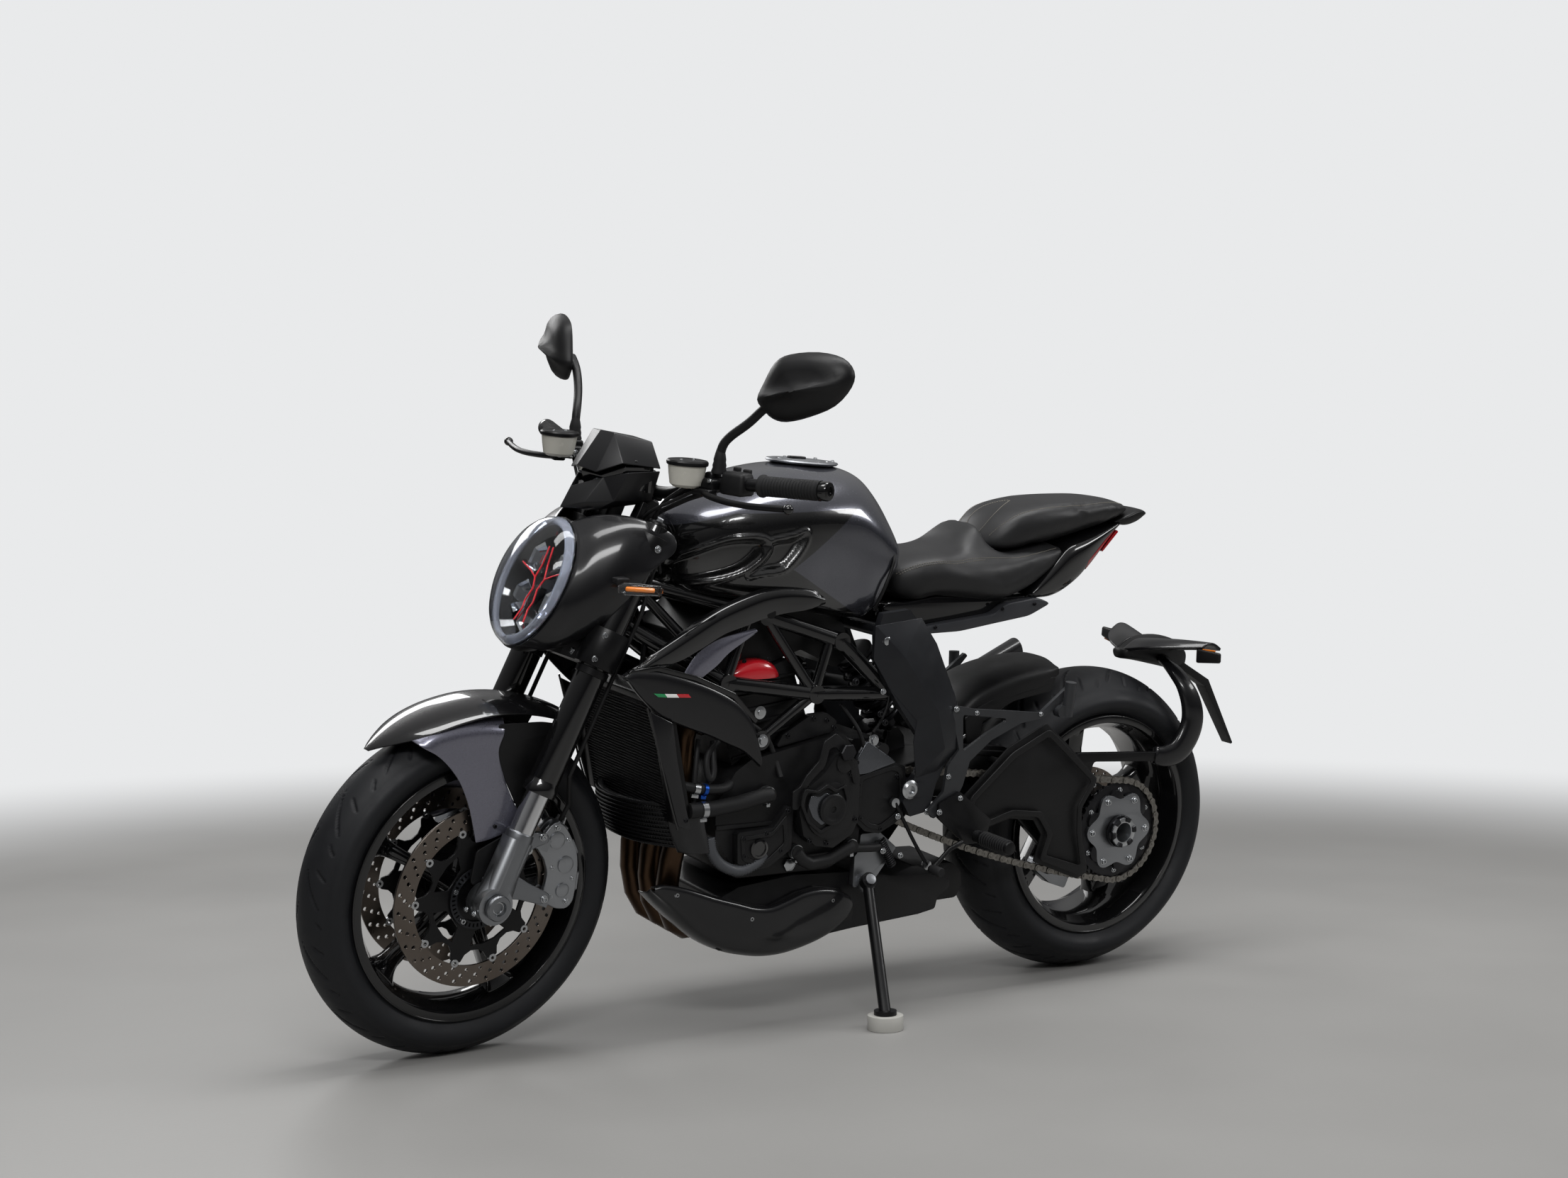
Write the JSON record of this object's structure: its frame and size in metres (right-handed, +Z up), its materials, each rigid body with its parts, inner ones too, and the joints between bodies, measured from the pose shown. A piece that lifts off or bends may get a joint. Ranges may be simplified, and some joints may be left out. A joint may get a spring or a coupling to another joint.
{
  "type": "standard motorcycle",
  "caption": "Naked roadster motorcycle on its side stand, with trellis frame, round-ended headlight, single-sided swingarm, dual seat and small flyscreen.",
  "frame": {"origin": "on the ground, under the middle of the outline", "axes": "+X forward, +Y to the rider's left, +Z up; the machine leans to +Y on its side stand"},
  "size_m": [2.1304, 0.9133, 1.3118],
  "materials": {
    "tyre": "matt",
    "gloss_black_metal": "gloss",
    "satin_black_metal": "satin",
    "red_metal": "gloss",
    "steel": "satin",
    "disc_steel": "satin",
    "cast_alloy": "satin",
    "polished_alloy": "polished",
    "bronze_pipe": "satin",
    "gloss_black_plastic": "gloss",
    "graphite_plastic": "gloss",
    "matt_black_plastic": "matt",
    "red_lens": "gloss",
    "amber_lens": "gloss",
    "clear_lens": "gloss",
    "milky_plastic": "satin",
    "grip_rubber": "matt",
    "seat_cover": "matt",
    "pale_plastic": "matt"
  },
  "bodies": {
    "chassis": {"main_frame": "gloss_black_metal", "frame_plates": "cast_alloy", "engine_block": "cast_alloy", "engine_covers": "satin_black_metal", "cam_cover": "red_metal", "airbox": "matt_black_plastic", "coolant_hoses": "grip_rubber", "radiator": "satin_black_metal", "radiator_shrouds": "matt_black_plastic", "exhaust_headers": "bronze_pipe", "silencer": "satin_black_metal", "fuel_tank": "gloss_black_metal", "spear_fairings": "gloss_black_plastic", "inner_panels": "graphite_plastic", "rider_seat": "seat_cover", "pillion_seat": "seat_cover", "tail_fairing": "gloss_black_plastic", "seat_base": "matt_black_plastic", "tail_light": "red_lens", "swingarm": "satin_black_metal", "drive_chain": "steel", "rear_hugger": "matt_black_plastic", "chain_guard": "matt_black_plastic", "plate_carrier": "matt_black_plastic", "rear_indicators": "amber_lens", "passenger_brackets": "cast_alloy", "rider_footpegs": "satin_black_metal", "rear_shock": "steel", "rear_caliper": "cast_alloy", "stand_bracket": "polished_alloy", "stand_puck": "pale_plastic"},
    "steering": {"fork_tubes": "gloss_black_metal", "fork_legs": "polished_alloy", "front_axle": "steel", "fork_clamps": "satin_black_metal", "front_calipers": "cast_alloy", "front_fender": "gloss_black_plastic", "fender_sides": "graphite_plastic", "handlebar": "satin_black_metal", "grips": "grip_rubber", "switchgear": "matt_black_plastic", "reservoirs": "milky_plastic", "mirrors": "matt_black_plastic", "headlight_shell": "matt_black_plastic", "headlight_lens": "clear_lens", "flyscreen": "matt_black_plastic", "front_indicators": "amber_lens", "instruments": "matt_black_plastic", "brake_lines": "grip_rubber"},
    "front_wheel": {"front_tyre": "tyre", "front_rim": "gloss_black_metal", "front_discs": "disc_steel"},
    "rear_wheel": {"rear_tyre": "tyre", "rear_rim": "gloss_black_metal", "rear_axle": "steel", "rear_sprocket": "steel", "rear_disc": "disc_steel"},
    "stand": {"side_stand": "satin_black_metal"}
  },
  "joints": [
    {"name": "steering_turn", "type": "hinge", "parent": "chassis", "child": "steering", "pos_m": [0.50691, -0.05036, 0.79443], "axis": [-0.4067, 0.1113, 0.9067], "range_deg": [-36, 24]},
    {"name": "front_wheel_spin", "type": "hinge", "parent": "steering", "child": "front_wheel", "pos_m": [0.75992, -0.10857, 0.29677], "axis": [-0.0955, 0.9819, -0.1634], "continuous": true},
    {"name": "rear_wheel_spin", "type": "hinge", "parent": "chassis", "child": "rear_wheel", "pos_m": [-0.6402, -0.10929, 0.31445], "axis": [0, 0.9925, -0.1219], "continuous": true},
    {"name": "stand_fold", "type": "hinge", "parent": "chassis", "child": "stand", "pos_m": [-0.0042, 0.04454, 0.25444], "axis": [0.0999, 0.8927, 0.4394], "range_deg": [0, 96]}
  ]
}
